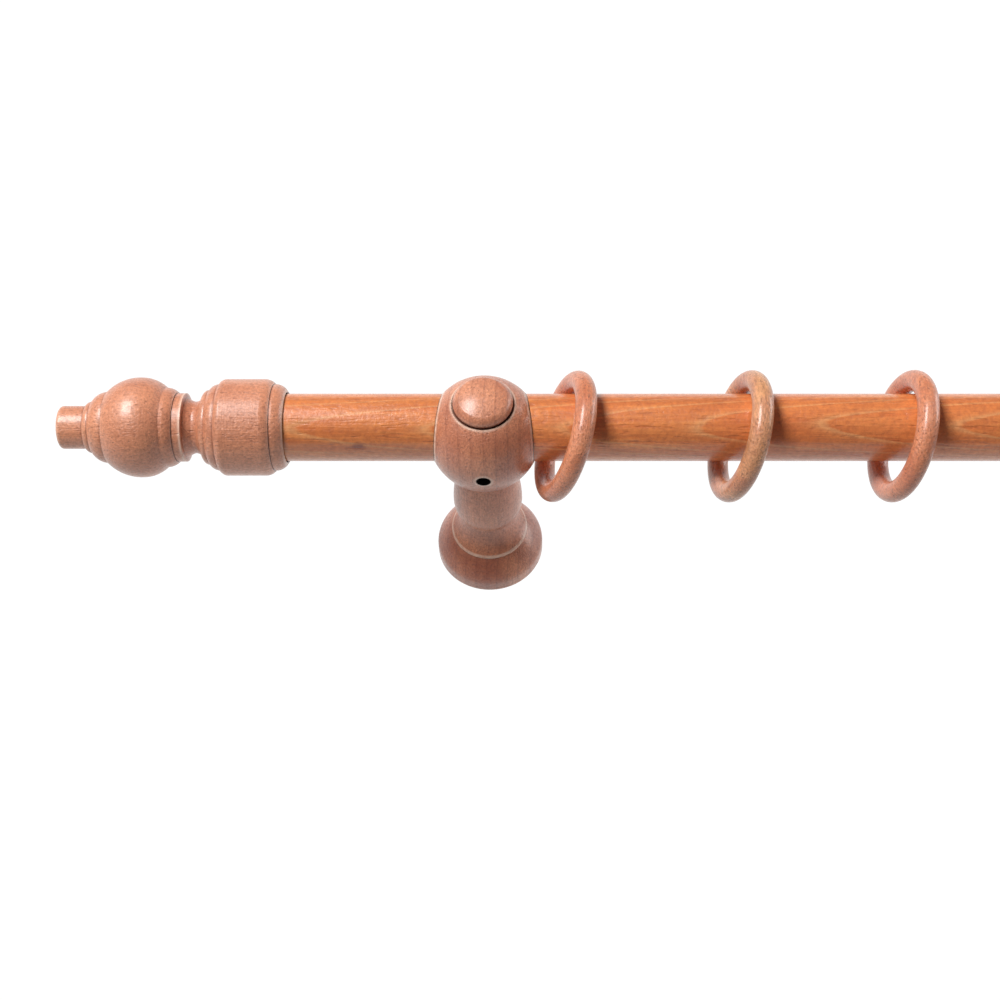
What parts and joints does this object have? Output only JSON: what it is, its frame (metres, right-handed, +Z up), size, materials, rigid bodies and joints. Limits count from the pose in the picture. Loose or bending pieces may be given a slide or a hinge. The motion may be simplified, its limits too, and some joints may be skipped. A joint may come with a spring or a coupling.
{
  "type": "curtain rod with brackets",
  "caption": "Turned wooden curtain rod with ball and bead finials, two wall brackets with a ball head, and rings that slide along it.",
  "frame": {"origin": "on the wall, midway between the turning axes of the two brackets, at the centre of the four wall screws", "axes": "+X along the rod to the right seen from the room, +Y into the wall, +Z up"},
  "size_m": [1.131, 0.1184, 0.0556],
  "materials": {
    "turned_wood": "satin lacquer over brown stain",
    "rod_wood": "satin lacquer over orange-brown stain",
    "ring_wood": "satin lacquer over brown stain",
    "zinc_steel": "zinc plated",
    "brass": "plain turned"
  },
  "bodies": {
    "wall_brackets": {"bracket_head_left": "turned_wood", "bracket_stem_left": "turned_wood", "bracket_rose_left": "turned_wood", "threaded_insert_left": "brass", "wall_plate_left": "zinc_steel", "wall_stud_left": "zinc_steel", "bracket_head_right": "turned_wood", "bracket_stem_right": "turned_wood", "bracket_rose_right": "turned_wood", "threaded_insert_right": "brass", "wall_plate_right": "zinc_steel", "wall_stud_right": "zinc_steel"},
    "rod": {"rod": "rod_wood"},
    "finial_left": {"finial_left": "turned_wood"},
    "finial_right": {"finial_right": "turned_wood"},
    "lock_screw_left": {"lock_screw_left": "zinc_steel"},
    "lock_screw_right": {"lock_screw_right": "zinc_steel"},
    "ring_01": {"ring_01": "ring_wood"},
    "ring_02": {"ring_02": "ring_wood"},
    "ring_03": {"ring_03": "ring_wood"},
    "ring_04": {"ring_04": "ring_wood"},
    "ring_05": {"ring_05": "ring_wood"},
    "ring_06": {"ring_06": "ring_wood"},
    "ring_07": {"ring_07": "ring_wood"},
    "ring_08": {"ring_08": "ring_wood"},
    "ring_09": {"ring_09": "ring_wood"},
    "ring_10": {"ring_10": "ring_wood"}
  },
  "joints": [
    {"name": "rod_slide", "type": "slide", "parent": "wall_brackets", "child": "rod", "axis": [1, 0, 0], "range_m": [-0.055, 0.055]},
    {"name": "finial_left_pull_off", "type": "slide", "parent": "rod", "child": "finial_left", "axis": [-1, 0, 0], "range_m": [0, 0.03]},
    {"name": "finial_right_pull_off", "type": "slide", "parent": "rod", "child": "finial_right", "axis": [1, 0, 0], "range_m": [0, 0.03]},
    {"name": "lock_screw_left_back_out", "type": "slide", "parent": "wall_brackets", "child": "lock_screw_left", "axis": [0, 0, -1], "range_m": [0, 0.004]},
    {"name": "lock_screw_right_back_out", "type": "slide", "parent": "wall_brackets", "child": "lock_screw_right", "axis": [0, 0, -1], "range_m": [0, 0.004]},
    {"name": "ring_01_slide", "type": "slide", "parent": "wall_brackets", "child": "ring_01", "axis": [1, 0, 0], "range_m": [-0.004, 0.0564]},
    {"name": "ring_02_slide", "type": "slide", "parent": "wall_brackets", "child": "ring_02", "axis": [1, 0, 0], "range_m": [-0.0564, 0.0515]},
    {"name": "ring_03_slide", "type": "slide", "parent": "wall_brackets", "child": "ring_03", "axis": [1, 0, 0], "range_m": [-0.0515, 0.0613]},
    {"name": "ring_04_slide", "type": "slide", "parent": "wall_brackets", "child": "ring_04", "axis": [1, 0, 0], "range_m": [-0.0613, 0.062]},
    {"name": "ring_05_slide", "type": "slide", "parent": "wall_brackets", "child": "ring_05", "axis": [1, 0, 0], "range_m": [-0.062, 0.0627]},
    {"name": "ring_06_slide", "type": "slide", "parent": "wall_brackets", "child": "ring_06", "axis": [1, 0, 0], "range_m": [-0.0627, 0.0613]},
    {"name": "ring_07_slide", "type": "slide", "parent": "wall_brackets", "child": "ring_07", "axis": [1, 0, 0], "range_m": [-0.0613, 0.0648]},
    {"name": "ring_08_slide", "type": "slide", "parent": "wall_brackets", "child": "ring_08", "axis": [1, 0, 0], "range_m": [-0.0648, 0.0677]},
    {"name": "ring_09_slide", "type": "slide", "parent": "wall_brackets", "child": "ring_09", "axis": [1, 0, 0], "range_m": [-0.0677, 0.0712]},
    {"name": "ring_10_slide", "type": "slide", "parent": "wall_brackets", "child": "ring_10", "axis": [1, 0, 0], "range_m": [-0.0712, 0.013]}
  ]
}
